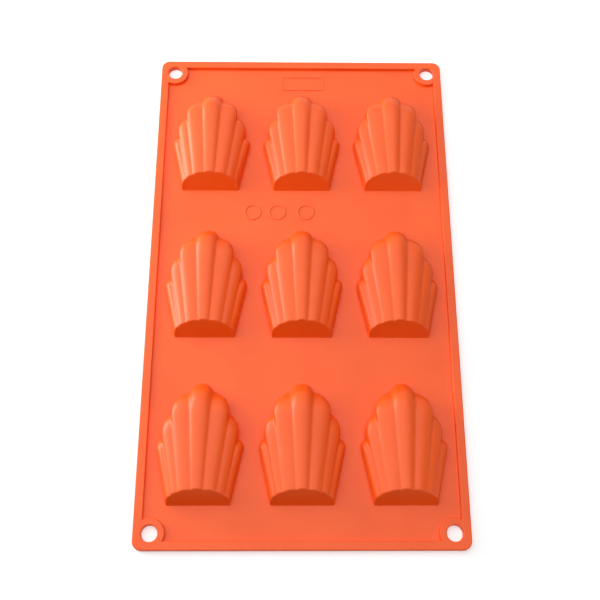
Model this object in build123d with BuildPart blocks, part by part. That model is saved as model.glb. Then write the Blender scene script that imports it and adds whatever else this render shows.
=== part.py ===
from build123d import *
import math
import os

# A nine-cup madeleine mould of silicone rubber, in millimetres.
# It lies as it is stored: mouths down on the table at z = 0, shells standing up.
# X runs across the mould and Y along it, towards the tips of the shells.

# Sheet
sheet_thickness = 1.3
sheet_corner_radius = 4.8

# Raised rim and the four hanging eyelets
rim_width = 4.8
rim_rise = 2.0
rim_edge_round = 0.6
eyelet_inset = 8.6
eyelet_radius = 8.0
eyelet_hole_radius = 4.25
eyelet_margin = 0.4

# Grid of cups: the sheet between them and around them sets how large it is
column_names = ("left", "centre", "right")
row_names = ("front", "middle", "back")
column_gap = 8.7
row_gap = 26.2
side_margin = 10.25
front_margin = 22.6
back_margin = 24.6

# One cup: seven flutes and a flat end wall that leans inward
cup_wall = 1.2
end_lean_degrees = 31.0
tip_lean_share = 0.5
nose_power = 2.8
nose_steps = 16
station_power = 2
crown_share = 4 / 3
tip_shoulder_share = 0.94

# Centre flute, its foot at the end wall and its tip
centre_foot_half = 4.3
centre_foot_height = 11.5
centre_foot_shoulder = 3.3
centre_tip_y = 66.8
centre_tip_radius = 6.1
centre_tip_round = 7.5
centre_tip_height = 14.4
centre_tip_shoulder = 2.8

# Inner flutes, one each side of the centre one
inner_foot_x = 4.8
inner_foot_half = 5.75
inner_foot_height = 10.9
inner_foot_shoulder = 4.5
inner_tip_x = 6.7
inner_tip_y = 62.3
inner_tip_radius = 8.5
inner_tip_round = 14.0
inner_tip_turn_share = 0.5
inner_tip_height = 12.1
inner_tip_shoulder = 2.8

# Outer flutes
outer_foot_x = 8.6
outer_foot_half = 5.2
outer_foot_height = 9.5
outer_foot_shoulder = 4.3
outer_tip_x = 12.0
outer_tip_y = 51.2
outer_tip_radius = 8.3
outer_tip_round = 14.5
outer_tip_turn_share = 0.4
outer_tip_height = 9.4
outer_tip_shoulder = 4.5

# Side flutes, low and narrow
side_foot_x = 12.1
side_foot_half = 4.5
side_foot_height = 7.3
side_foot_shoulder = 6.1
side_tip_x = 18.85
side_tip_y = 36.1
side_tip_radius = 4.0
side_tip_round = 7.0
side_tip_turn_share = 0.4
side_tip_height = 6.2
side_tip_shoulder = 4.4

# Low-relief marks on the sheet, all plain: three rings and an empty frame
ring_radius = 4.6
ring_line = 1.1
ring_rise = 0.45
ring_edge_round = 0.3
ring_places = (("left", -28.9), ("centre", -14.4), ("right", 2.3))
ring_back = 14.0
frame_width = 26.0
frame_height = 10.0
frame_line = 0.7
frame_rise = 0.35
frame_x = 0.7
frame_inset = 15.1

# One overrun for the flutes behind the end wall and for every cut
overrun = 2.0

rim_height = sheet_thickness + rim_rise
corner_block = eyelet_inset + eyelet_radius + eyelet_margin
columns = len(column_names)
rows = len(row_names)
cup_width = 2 * (side_tip_x + side_tip_radius)
column_pitch = cup_width + column_gap
row_pitch = centre_tip_y + row_gap
half_width = side_margin + (columns * cup_width + (columns - 1) * column_gap) / 2
half_length = (front_margin + rows * centre_tip_y + (rows - 1) * row_gap + back_margin) / 2

os.makedirs("parts", exist_ok=True)


def save(part, name):
    part.label = name
    export_step(part, "parts/" + name + ".step")


def mix(start, end, share):
    return start + (end - start) * share


# Arch of a flute at one station, about its crest line: upright sides under a rounded crown
def arch(x, half, height, shoulder):
    spring = height - shoulder
    handle = spring + shoulder * crown_share
    Polyline((x - half, spring), (x - half, 0), (x + half, 0), (x + half, spring))
    Bezier((x + half, spring), (x + half, handle), (x - half, handle), (x - half, spring))


# One flute, its outside drawn in by an inset: it widens from its foot, then closes in a long round
# and slopes down to its tip, and a turn share brings the tip in towards the middle of the shell
def flute(
    foot_x, foot_half, foot_height, foot_shoulder,
    tip_x, tip_y, tip_radius, tip_round, tip_turn_share, tip_height, tip_shoulder, inset,
):
    tip = tip_y - inset
    radius = tip_radius - inset
    round_length = tip_round - inset
    round_y = tip - round_length
    nose = tip_height * nose_power * tip_lean_share
    reach = max(nose, round_length)
    backs = [tip + overrun]
    backs += [reach * (step / nose_steps) ** station_power for step in range(nose_steps, 0, -1)]
    with BuildPart() as body:
        for back in backs:
            y = tip - back
            share = y / round_y
            fall = max(1 - back / nose, 0)
            full_height = mix(foot_height, tip_height, share)
            height = (full_height - inset) * (1 - fall ** nose_power)
            closing = min(back / round_length, 1)
            width_share = math.sqrt(1 - (1 - closing) ** 2)
            half = mix(foot_half - inset, radius, min(share, 1)) * width_share
            x = mix(foot_x, tip_x, share) - tip_turn_share * radius * (1 - width_share)
            shoulder_share = mix(foot_shoulder, tip_shoulder, share) / full_height
            shoulder = height * mix(shoulder_share, tip_shoulder_share, fall ** 2)
            with BuildSketch(Plane.XZ.offset(-y)):
                with BuildLine():
                    arch(x, half, height, shoulder)
                make_face()
        loft(ruled=True)
    return body.part


# All seven flutes in one solid, cut at the leaning end wall
def shell_form(inset):
    lean = math.radians(end_lean_degrees)
    end_wall = Plane(origin=(0, inset / math.cos(lean), 0), x_dir=(1, 0, 0), z_dir=(0, 1, -math.tan(lean)))
    with BuildPart() as form:
        add(flute(
            side_foot_x, side_foot_half, side_foot_height, side_foot_shoulder,
            side_tip_x, side_tip_y, side_tip_radius, side_tip_round, side_tip_turn_share,
            side_tip_height, side_tip_shoulder, inset,
        ))
        add(flute(
            outer_foot_x, outer_foot_half, outer_foot_height, outer_foot_shoulder,
            outer_tip_x, outer_tip_y, outer_tip_radius, outer_tip_round, outer_tip_turn_share,
            outer_tip_height, outer_tip_shoulder, inset,
        ))
        add(flute(
            inner_foot_x, inner_foot_half, inner_foot_height, inner_foot_shoulder,
            inner_tip_x, inner_tip_y, inner_tip_radius, inner_tip_round, inner_tip_turn_share,
            inner_tip_height, inner_tip_shoulder, inset,
        ))
        mirror(about=Plane.YZ)
        add(flute(
            0, centre_foot_half, centre_foot_height, centre_foot_shoulder,
            0, centre_tip_y, centre_tip_radius, centre_tip_round, 0,
            centre_tip_height, centre_tip_shoulder, inset,
        ))
        split(bisect_by=end_wall, keep=Keep.TOP)
    return form.part


# Foot of the cup in a row and column of the grid: the middle of its end wall, on top of the sheet
def cup_place(row, column):
    x = (column - (columns - 1) / 2) * column_pitch
    y = front_margin - half_length + row * row_pitch
    return Location((x, y, sheet_thickness))


outside = shell_form(0)
inside = shell_form(cup_wall)
mouth = inside.faces().sort_by(Axis.Z)[0]

for row in range(rows):
    for column in range(columns):
        with BuildPart() as cup:
            with Locations(cup_place(row, column)):
                add(outside)
                add(inside, mode=Mode.SUBTRACT)
        save(cup.part, "cup_" + row_names[row] + "_" + column_names[column])

# The sheet between the cups, one strip to a row, with the cups' mouths through it
strip_ends = [rim_width - half_length]
strip_ends += [cup_place(row, 0).position.Y - row_gap / 2 for row in range(1, rows)]
strip_ends += [half_length - rim_width]
strip_width = 2 * (half_width - rim_width)

for row in range(rows):
    strip_length = strip_ends[row + 1] - strip_ends[row]
    with BuildPart() as web:
        with BuildSketch():
            with Locations((0, strip_ends[row] + strip_length / 2)):
                Rectangle(strip_width, strip_length)
            with GridLocations(2 * half_width - corner_block, 2 * half_length - corner_block, 2, 2):
                Rectangle(corner_block, corner_block, mode=Mode.SUBTRACT)
        extrude(amount=sheet_thickness)
        for column in range(columns):
            extrude(mouth.moved(cup_place(row, column)), amount=sheet_thickness, mode=Mode.SUBTRACT)
    save(web.part, "web_" + row_names[row])

# The four straight rails of the rim, rounded along both top edges
rail_x = half_width - rim_width / 2
rail_y = half_length - rim_width / 2
cross_run = 2 * (half_width - corner_block)
long_run = 2 * (half_length - corner_block)
rails = (
    ("rim_front", (0, -rail_y), (cross_run, rim_width), Axis.X),
    ("rim_back", (0, rail_y), (cross_run, rim_width), Axis.X),
    ("rim_left", (-rail_x, 0), (rim_width, long_run), Axis.Y),
    ("rim_right", (rail_x, 0), (rim_width, long_run), Axis.Y),
)

for rail_name, rail_centre, rail_size, rail_axis in rails:
    with BuildPart() as rail:
        with BuildSketch():
            with Locations(rail_centre):
                Rectangle(*rail_size)
        extrude(amount=rim_height)
        fillet(rail.edges().filter_by(rail_axis).group_by(Axis.Z)[-1], radius=rim_edge_round)
    save(rail.part, rail_name)

# The four corners, each with its patch of sheet, its length of rim and a round eyelet with its hole,
# rounded along every top edge but the two that meet the rails
for row_name, row_side in (("front", -1), ("back", 1)):
    for column_name, column_side in (("left", -1), ("right", 1)):
        corner_x = column_side * half_width
        corner_y = row_side * half_length
        eyelet_x = corner_x - column_side * eyelet_inset
        eyelet_y = corner_y - row_side * eyelet_inset
        fill_x = corner_x - column_side * eyelet_inset / 2
        fill_y = corner_y - row_side * eyelet_inset / 2
        block_x = corner_x - column_side * corner_block / 2
        block_y = corner_y - row_side * corner_block / 2
        with BuildPart() as corner:
            with BuildSketch():
                with Locations((block_x, block_y)):
                    Rectangle(corner_block, corner_block)
            extrude(amount=sheet_thickness)
            with BuildSketch():
                with Locations((block_x, corner_y - row_side * rim_width / 2)):
                    Rectangle(corner_block, rim_width)
                with Locations((corner_x - column_side * rim_width / 2, block_y)):
                    Rectangle(rim_width, corner_block)
                with Locations((eyelet_x, eyelet_y)):
                    Circle(eyelet_radius)
                with Locations((fill_x, fill_y)):
                    Rectangle(eyelet_inset, eyelet_inset)
            extrude(amount=rim_height)
            with Locations((eyelet_x, eyelet_y, rim_height)):
                Hole(radius=eyelet_hole_radius)
            upright = corner.edges().filter_by(Axis.Z).sort_by_distance((corner_x, corner_y, 0))[0]
            fillet(upright, radius=sheet_corner_radius)
            joint_x = corner_x - column_side * corner_block
            joint_y = corner_y - row_side * corner_block
            top_edges = corner.edges().group_by(Axis.Z)[-1]
            across = top_edges.filter_by_position(Axis.X, joint_x, joint_x)
            along = top_edges.filter_by_position(Axis.Y, joint_y, joint_y)
            fillet(top_edges - across - along, radius=rim_edge_round)
        save(corner.part, "corner_" + row_name + "_" + column_name)

# Low-relief rings between the back rows of cups
for ring_name, ring_x in ring_places:
    with BuildPart() as ring:
        with BuildSketch(Plane.XY.offset(sheet_thickness)):
            with Locations((ring_x, cup_place(rows - 1, 0).position.Y - ring_back)):
                Circle(ring_radius + ring_line / 2)
                Circle(ring_radius - ring_line / 2, mode=Mode.SUBTRACT)
        extrude(amount=ring_rise)
        fillet(ring.edges().group_by(Axis.Z)[-1], radius=ring_edge_round)
    save(ring.part, "relief_ring_" + ring_name)

# Low-relief empty frame behind the back row
with BuildPart() as frame:
    with BuildSketch(Plane.XY.offset(sheet_thickness)):
        with Locations((frame_x, half_length - frame_inset)):
            Rectangle(frame_width, frame_height)
            Rectangle(frame_width - 2 * frame_line, frame_height - 2 * frame_line, mode=Mode.SUBTRACT)
    extrude(amount=frame_rise)
save(frame.part, "relief_frame")
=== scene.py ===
import math

import bpy
from bpy.props import FloatProperty, FloatVectorProperty, IntProperty, PointerProperty
from bpy.types import Operator, Panel, PropertyGroup
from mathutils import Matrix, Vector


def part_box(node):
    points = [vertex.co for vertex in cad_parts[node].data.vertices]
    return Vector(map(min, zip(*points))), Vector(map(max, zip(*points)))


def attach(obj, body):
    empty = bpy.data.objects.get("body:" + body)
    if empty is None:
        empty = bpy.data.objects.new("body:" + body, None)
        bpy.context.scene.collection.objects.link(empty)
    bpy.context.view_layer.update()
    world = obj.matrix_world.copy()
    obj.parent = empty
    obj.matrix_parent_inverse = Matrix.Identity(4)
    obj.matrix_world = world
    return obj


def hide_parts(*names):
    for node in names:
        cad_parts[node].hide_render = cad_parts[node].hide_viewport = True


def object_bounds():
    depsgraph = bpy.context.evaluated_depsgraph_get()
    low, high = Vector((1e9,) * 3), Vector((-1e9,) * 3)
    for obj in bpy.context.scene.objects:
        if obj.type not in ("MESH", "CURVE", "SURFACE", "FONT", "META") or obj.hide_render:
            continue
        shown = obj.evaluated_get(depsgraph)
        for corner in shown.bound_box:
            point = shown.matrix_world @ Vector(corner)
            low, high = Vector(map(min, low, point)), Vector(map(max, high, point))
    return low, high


bl_info = {
    "name": "Madeleine mould",
    "version": (1, 0, 0),
    "blender": (4, 5, 0),
    "location": "3D View > Sidebar > Mould",
    "description": "Dresses a nine-cup silicone madeleine mould and lights it in a studio",
    "category": "Object",
}

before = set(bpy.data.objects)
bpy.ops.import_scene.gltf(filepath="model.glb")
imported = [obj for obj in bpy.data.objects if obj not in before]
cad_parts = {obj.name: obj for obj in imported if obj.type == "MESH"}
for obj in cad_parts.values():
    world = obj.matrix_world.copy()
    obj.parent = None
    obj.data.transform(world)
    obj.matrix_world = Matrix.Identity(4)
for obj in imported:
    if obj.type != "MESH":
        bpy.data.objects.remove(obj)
CAD_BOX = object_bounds()
BODY = "root"
MODEL_CUP = "cup_middle_centre"
SHEET_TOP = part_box("web_middle")[1].z

# Points of a cup's mesh that are nearer than this are one point
MERGE_DISTANCE = 0.00001

# Smoothing of a cup's skin: how far each round goes, and how many rounds the whole skin gets
SMOOTH_FACTOR = 0.5
EDGE_ROUNDS = 3

# Sockets of a colour mix node
MIX_SHARE, MIX_FIRST, MIX_SECOND = 0, 6, 7
MIX_RESULT = 2

# Silicone clouds: scale, the noise where they start and where they are full, and how much they roughen
CLOUD_SCALE = 38.0
CLOUD_START, CLOUD_FULL = 0.35, 0.65
CLOUD_ROUGHNESS = 0.10

# Silicone haze: matt smears that run along the cups, built like the clouds
HAZE_SCALE = 240.0
HAZE_STRETCH = (1.0, 0.28, 1.0)
HAZE_FINENESS = 0.62
HAZE_START, HAZE_FULL = 0.56, 0.78
HAZE_MOST = 0.16
HAZE_ROUGHNESS = 0.5

# Silicone: the drop in roughness that evens out the clouds, and how strongly the surface mirrors
ROUGHNESS_DROP = 0.05
RUBBER_IOR = 1.47

# Silicone dust: scale of its cells, which of them carry a speck, how large and how pale the specks are
DUST_SCALE = 105.0
DUST_RARITY = 0.74
DUST_SIZE = 0.034
DUST_STRENGTH = 0.55

# Silicone bumps: the moulded grain, the slower ripple, and what is made of their sum
GRAIN_SCALE = 2300.0
GRAIN_HEIGHT = 0.35
RIPPLE_SCALE = 160.0
RIPPLE_HEIGHT = 1.2
BUMP_STRENGTH = 0.35
BUMP_DISTANCE = 0.00006

# Ground: side of the plane, its colour, its glow to the eye, its roughness and how that varies
GROUND_SIDE = 8.0
GROUND_COLOUR = (0.75, 0.75, 0.75, 1.0)
GROUND_GLOW = (0.4, 0.4, 0.4, 1.0)
GROUND_ROUGHNESS = 0.8
GROUND_VARIATION = 0.1
GROUND_SCALE = 3.0
BLACK = (0.0, 0.0, 0.0, 1.0)
WHITE = (1.0, 1.0, 1.0, 1.0)

# Lamps: name, sides, place and turn in degrees
LAMPS = (
    ("ceiling", (1.7, 1.3), (-0.45, 0.22, 0.75), (0, 0, 0)),
    ("left_panel", (0.5, 0.25), (-0.50, 0.20, 0.13), (90, 0, -90)),
    ("right_panel", (0.3, 0.2), (0.35, -0.32, 0.12), (90, 0, 60)),
    ("back_panel", (0.6, 0.2), (0.0, 0.42, 0.10), (-90, 0, 0)),
)


class MouldSettings(PropertyGroup):
    """Finish of the silicone and fineness of its skin"""

    colour: FloatVectorProperty(
        name="Silicone colour", description="Body colour of the rubber, linear",
        subtype="COLOR", size=3, min=0, max=1, default=(0.895, 0.097, 0.0015),
    )
    deep_colour: FloatVectorProperty(
        name="Deep colour", description="Colour of the slightly darker clouds in the rubber, linear",
        subtype="COLOR", size=3, min=0, max=1, default=(0.865, 0.089, 0.0015),
    )
    dust_colour: FloatVectorProperty(
        name="Dust colour", description="Colour of the pale specks of dust on the rubber, linear",
        subtype="COLOR", size=3, min=0, max=1, default=(1.0, 0.42, 0.26),
    )
    roughness: FloatProperty(
        name="Roughness", description="Satin roughness of the rubber",
        subtype="FACTOR", min=0, max=1, default=0.43,
    )
    skin_step: FloatProperty(
        name="Skin step", description="Size of the cells of a cup's skin",
        subtype="DISTANCE", unit="LENGTH", default=0.00042,
    )
    tip_start: FloatProperty(
        name="Tip start",
        description="How far a cup's skin faces backwards where its tips start to be softened",
        min=0, max=1, default=0.08,
    )
    tip_ramp: FloatProperty(
        name="Tip ramp", description="Further turn backwards over which the softening grows to full strength",
        min=0, max=1, default=0.20,
    )
    tip_rounds: IntProperty(
        name="Tip rounds", description="Rounds of smoothing on the tips of the flutes",
        min=0, max=60, default=24,
    )
    root_depth: FloatProperty(
        name="Root depth", description="How far a cup's wall runs down into the sheet",
        subtype="DISTANCE", unit="LENGTH", default=0.0007,
    )


class StudioSettings(PropertyGroup):
    """Camera, lamps and backdrop"""

    camera_place: FloatVectorProperty(
        name="Camera place", description="Where the camera stands",
        subtype="TRANSLATION", unit="LENGTH", size=3, default=(-0.00647, -0.20656, 0.48925),
    )
    camera_turn: FloatVectorProperty(
        name="Camera turn", description="How the camera is turned",
        subtype="EULER", unit="ROTATION", size=3,
        default=(math.radians(21.846), math.radians(-0.805), math.radians(-0.165)),
    )
    camera_lens: FloatProperty(
        name="Lens", description="Focal length in millimetres on a sensor 36 mm wide", default=55.41,
    )
    camera_shift: FloatVectorProperty(
        name="Shift", description="Camera shift as a share of the frame", size=2, default=(-0.0058, -0.0009),
    )
    ceiling_power: FloatProperty(
        name="Ceiling", description="Power of the wide softbox overhead, left of the middle, in watts",
        default=11.6,
    )
    left_panel_power: FloatProperty(
        name="Left panel", description="Power of the low panel on the left in watts", default=3.6,
    )
    right_panel_power: FloatProperty(
        name="Right panel", description="Power of the low panel at the front on the right in watts",
        default=0.30,
    )
    back_panel_power: FloatProperty(
        name="Back panel", description="Power of the low panel behind in watts", default=0.25,
    )
    fill_strength: FloatProperty(
        name="Fill", description="Strength of the even light from all around", default=0.03,
    )


class Field:
    """A value socket of a node tree that can be written in sums"""

    def __init__(self, shader, socket):
        self.shader = shader
        self.socket = socket

    def maths(self, operation, first, second):
        node = self.shader.node("ShaderNodeMath", {"operation": operation}, {0: first, 1: second})
        return Field(self.shader, node.outputs[0])

    def __add__(self, other):
        return self.maths("ADD", self, other)

    def __mul__(self, other):
        return self.maths("MULTIPLY", self, other)

    def __gt__(self, other):
        return self.maths("GREATER_THAN", self, other)

    def __lt__(self, other):
        return self.maths("LESS_THAN", self, other)


class Shader:
    """The node tree of a material or of the world, built node by node"""

    def __init__(self, owner):
        self.owner = owner
        owner.use_nodes = True
        self.tree = owner.node_tree
        self.tree.nodes.clear()

    def node(self, kind, settings, values):
        made = self.tree.nodes.new(kind)
        for key, value in settings.items():
            setattr(made, key, value)
        for key, value in values.items():
            socket = value.socket if isinstance(value, Field) else value
            if isinstance(socket, bpy.types.NodeSocket):
                self.tree.links.new(socket, made.inputs[key])
            else:
                made.inputs[key].default_value = socket
        return made

    def field(self, kind, settings, values, output=0):
        return Field(self, self.node(kind, settings, values).outputs[output])

    def seen(self):
        """1 where the eye sees the surface, straight, mirrored or through glass, and 0 for the light"""
        ray = self.node("ShaderNodeLightPath", {}, {})
        straight = Field(self, ray.outputs["Is Camera Ray"])
        mirrored = Field(self, ray.outputs["Is Glossy Ray"])
        through = Field(self, ray.outputs["Is Transmission Ray"])
        return straight + mirrored + through > 0.5

    def mix(self, share, first, second):
        values = {MIX_SHARE: share, MIX_FIRST: first, MIX_SECOND: second}
        return self.node("ShaderNodeMix", {"data_type": "RGBA"}, values).outputs[MIX_RESULT]


def silicone(settings):
    """Satin silicone: faint clouds, matt smears, stray dust and a fine moulded grain"""
    if "satin_silicone" in bpy.data.materials:
        return bpy.data.materials["satin_silicone"]
    shader = Shader(bpy.data.materials.new("satin_silicone"))
    place = shader.node("ShaderNodeTexCoord", {}, {}).outputs["Object"]
    clouds = shader.field("ShaderNodeTexNoise", {}, {"Vector": place, "Scale": CLOUD_SCALE, "Detail": 3.0})
    cloud_share = shader.field(
        "ShaderNodeMapRange", {}, {"Value": clouds, "From Min": CLOUD_START, "From Max": CLOUD_FULL},
    )
    body = shader.mix(cloud_share, (*settings.colour, 1.0), (*settings.deep_colour, 1.0))
    smears = shader.node("ShaderNodeMapping", {}, {"Vector": place, "Scale": HAZE_STRETCH}).outputs[0]
    haze = shader.field("ShaderNodeTexNoise", {}, {
        "Vector": smears,
        "Scale": HAZE_SCALE,
        "Detail": 6.0,
        "Roughness": HAZE_FINENESS,
    })
    haze_share = shader.field("ShaderNodeMapRange", {}, {
        "Value": haze,
        "From Min": HAZE_START,
        "From Max": HAZE_FULL,
        "To Max": HAZE_MOST,
    })
    dust = shader.node("ShaderNodeTexVoronoi", {}, {"Vector": place, "Scale": DUST_SCALE})
    chance = shader.node("ShaderNodeSeparateColor", {}, {"Color": dust.outputs["Color"]})
    chosen = Field(shader, chance.outputs[0]) > DUST_RARITY
    speck = Field(shader, dust.outputs["Distance"]) < Field(shader, chance.outputs[1]) * DUST_SIZE
    coloured = shader.mix(speck * chosen * DUST_STRENGTH, body, (*settings.dust_colour, 1.0))
    grain = shader.field("ShaderNodeTexNoise", {}, {"Vector": place, "Scale": GRAIN_SCALE, "Detail": 2.0})
    ripple = shader.field("ShaderNodeTexNoise", {}, {"Vector": place, "Scale": RIPPLE_SCALE, "Detail": 2.0})
    bump = shader.node("ShaderNodeBump", {}, {
        "Strength": BUMP_STRENGTH,
        "Distance": BUMP_DISTANCE,
        "Height": grain * GRAIN_HEIGHT + ripple * RIPPLE_HEIGHT,
    })
    roughened = clouds * CLOUD_ROUGHNESS + haze_share * HAZE_ROUGHNESS
    surface = shader.node("ShaderNodeBsdfPrincipled", {}, {
        "Base Color": coloured,
        "Roughness": roughened + (settings.roughness - ROUGHNESS_DROP),
        "Normal": bump.outputs[0],
        "IOR": RUBBER_IOR,
    })
    shader.node("ShaderNodeOutputMaterial", {}, {"Surface": surface.outputs[0]})
    return shader.owner


def bare_floor():
    """White ground that keeps a soft shadow and burns out to the eye"""
    shader = Shader(bpy.data.materials.new("white_ground"))
    place = shader.node("ShaderNodeTexCoord", {}, {}).outputs["Object"]
    grains = shader.field("ShaderNodeTexNoise", {}, {"Vector": place, "Scale": GROUND_SCALE})
    glow = shader.mix(shader.seen(), BLACK, GROUND_GLOW)
    matt = shader.node("ShaderNodeBsdfPrincipled", {}, {
        "Base Color": GROUND_COLOUR,
        "Roughness": grains * GROUND_VARIATION + GROUND_ROUGHNESS,
        "Specular IOR Level": 0.0,
        "Emission Color": glow,
        "Emission Strength": 1.0,
    })
    shader.node("ShaderNodeOutputMaterial", {}, {"Surface": matt.outputs[0]})
    return shader.owner


def dress(piece, finish):
    piece.data.materials.clear()
    piece.data.materials.append(finish)


def only(piece):
    bpy.ops.object.select_all(action="DESELECT")
    piece.select_set(True)
    bpy.context.view_layer.objects.active = piece


def finish_modifier(piece, kind, **values):
    modifier = piece.modifiers.new(kind.lower(), kind)
    for key, value in values.items():
        setattr(modifier, key, value)
    only(piece)
    bpy.ops.object.modifier_apply(modifier=modifier.name)


def pale_air(settings):
    """A weak even light from all around that looks white to the eye"""
    shader = Shader(bpy.data.worlds.new("pale_air"))
    weak = (settings.fill_strength,) * 3
    colour = shader.mix(shader.seen(), (*weak, 1.0), WHITE)
    air = shader.node("ShaderNodeBackground", {}, {"Color": colour, "Strength": 1.0})
    shader.node("ShaderNodeOutputWorld", {}, {"Surface": air.outputs[0]})
    return shader.owner


def add_lamp(name, sides, place, turn, power):
    """A rectangular softbox, itself out of sight"""
    lamp = bpy.data.lights.new(name, "AREA")
    lamp.shape = "RECTANGLE"
    lamp.size, lamp.size_y = sides
    lamp.energy = power
    holder = bpy.data.objects.new(name, lamp)
    holder.location = place
    holder.rotation_euler = [math.radians(angle) for angle in turn]
    holder.visible_camera = False
    bpy.context.collection.objects.link(holder)


class MOULD_OT_sheet(Operator):
    """Give the sheet, its rim, its corners and the relief marks their silicone finish"""

    bl_idname = "mould.sheet"
    bl_label = "Sheet and rim"

    def execute(self, context):
        finish = silicone(context.scene.mould)
        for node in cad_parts.values():
            dress(node, finish)
        return {"FINISHED"}


class MOULD_OT_cups(Operator):
    """Make the soft-edged skins of the nine cups"""

    bl_idname = "mould.cups"
    bl_label = "Cups"

    def execute(self, context):
        settings = context.scene.mould
        finish = silicone(settings)
        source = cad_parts[MODEL_CUP]
        model = bpy.data.objects.new("cup_skin", source.data.copy())
        context.collection.objects.link(model)
        only(model)
        bpy.ops.object.mode_set(mode="EDIT")
        bpy.ops.mesh.select_all(action="SELECT")
        bpy.ops.mesh.remove_doubles(threshold=MERGE_DISTANCE)
        bpy.ops.object.mode_set(mode="OBJECT")
        foot = SHEET_TOP + MERGE_DISTANCE
        for vertex in model.data.vertices:
            if vertex.co.z < foot:
                vertex.co.z -= settings.root_depth
        finish_modifier(model, "REMESH", mode="VOXEL", voxel_size=settings.skin_step, use_smooth_shade=True)
        finish_modifier(model, "SMOOTH", factor=SMOOTH_FACTOR, iterations=EDGE_ROUNDS)
        tips = model.vertex_groups.new(name="tips")
        for vertex in model.data.vertices:
            share = (vertex.normal.y - settings.tip_start) / settings.tip_ramp
            tips.add([vertex.index], min(max(share, 0.0), 1.0), "REPLACE")
        finish_modifier(
            model, "SMOOTH", factor=SMOOTH_FACTOR, iterations=settings.tip_rounds, vertex_group="tips",
        )
        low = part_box(MODEL_CUP)[0]
        for name in [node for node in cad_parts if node.startswith("cup_")]:
            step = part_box(name)[0] - low
            skin = bpy.data.objects.new(name.replace("cup_", "skin_"), model.data.copy())
            context.collection.objects.link(skin)
            for vertex in skin.data.vertices:
                vertex.co += step
            dress(skin, finish)
            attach(skin, BODY)
            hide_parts(name)
        bpy.data.objects.remove(model)
        return {"FINISHED"}


class MOULD_OT_studio(Operator):
    """Set up the white ground, the soft lamps and the camera"""

    bl_idname = "mould.studio"
    bl_label = "Studio"

    def execute(self, context):
        settings = context.scene.studio
        bpy.ops.object.select_all(action="DESELECT")
        bpy.ops.mesh.primitive_plane_add(size=GROUND_SIDE, location=(0, 0, CAD_BOX[0][2]))
        floor = context.object
        floor.name = "ground"
        dress(floor, bare_floor())
        context.scene.world = pale_air(settings)
        for name, sides, place, turn in LAMPS:
            add_lamp(name, sides, place, turn, getattr(settings, name + "_power"))
        camera = bpy.data.objects.new("camera", bpy.data.cameras.new("camera"))
        camera.location = settings.camera_place
        camera.rotation_euler = settings.camera_turn
        camera.data.lens = settings.camera_lens
        camera.data.shift_x, camera.data.shift_y = settings.camera_shift
        context.collection.objects.link(camera)
        context.scene.camera = camera
        context.scene.view_settings.view_transform = "Standard"
        return {"FINISHED"}


class MOULD_PT_panel(Panel):
    """Steps that dress the mould, with their sizes and colours"""

    bl_idname = "MOULD_PT_panel"
    bl_label = "Madeleine mould"
    bl_space_type = "VIEW_3D"
    bl_region_type = "UI"
    bl_category = "Mould"

    def draw(self, context):
        for group in (context.scene.mould, context.scene.studio):
            for name in group.__annotations__:
                self.layout.prop(group, name)
        for operator in OPERATORS:
            self.layout.operator(operator.bl_idname)


OPERATORS = (MOULD_OT_sheet, MOULD_OT_cups, MOULD_OT_studio)
CLASSES = (MouldSettings, StudioSettings, *OPERATORS, MOULD_PT_panel)


def register():
    for cls in CLASSES:
        bpy.utils.register_class(cls)
    bpy.types.Scene.mould = PointerProperty(type=MouldSettings)
    bpy.types.Scene.studio = PointerProperty(type=StudioSettings)


def unregister():
    del bpy.types.Scene.studio
    del bpy.types.Scene.mould
    for cls in reversed(CLASSES):
        bpy.utils.unregister_class(cls)


def main():
    register()
    bpy.ops.mould.sheet()
    bpy.ops.mould.cups()
    bpy.ops.mould.studio()


if __name__ == "__main__":
    main()
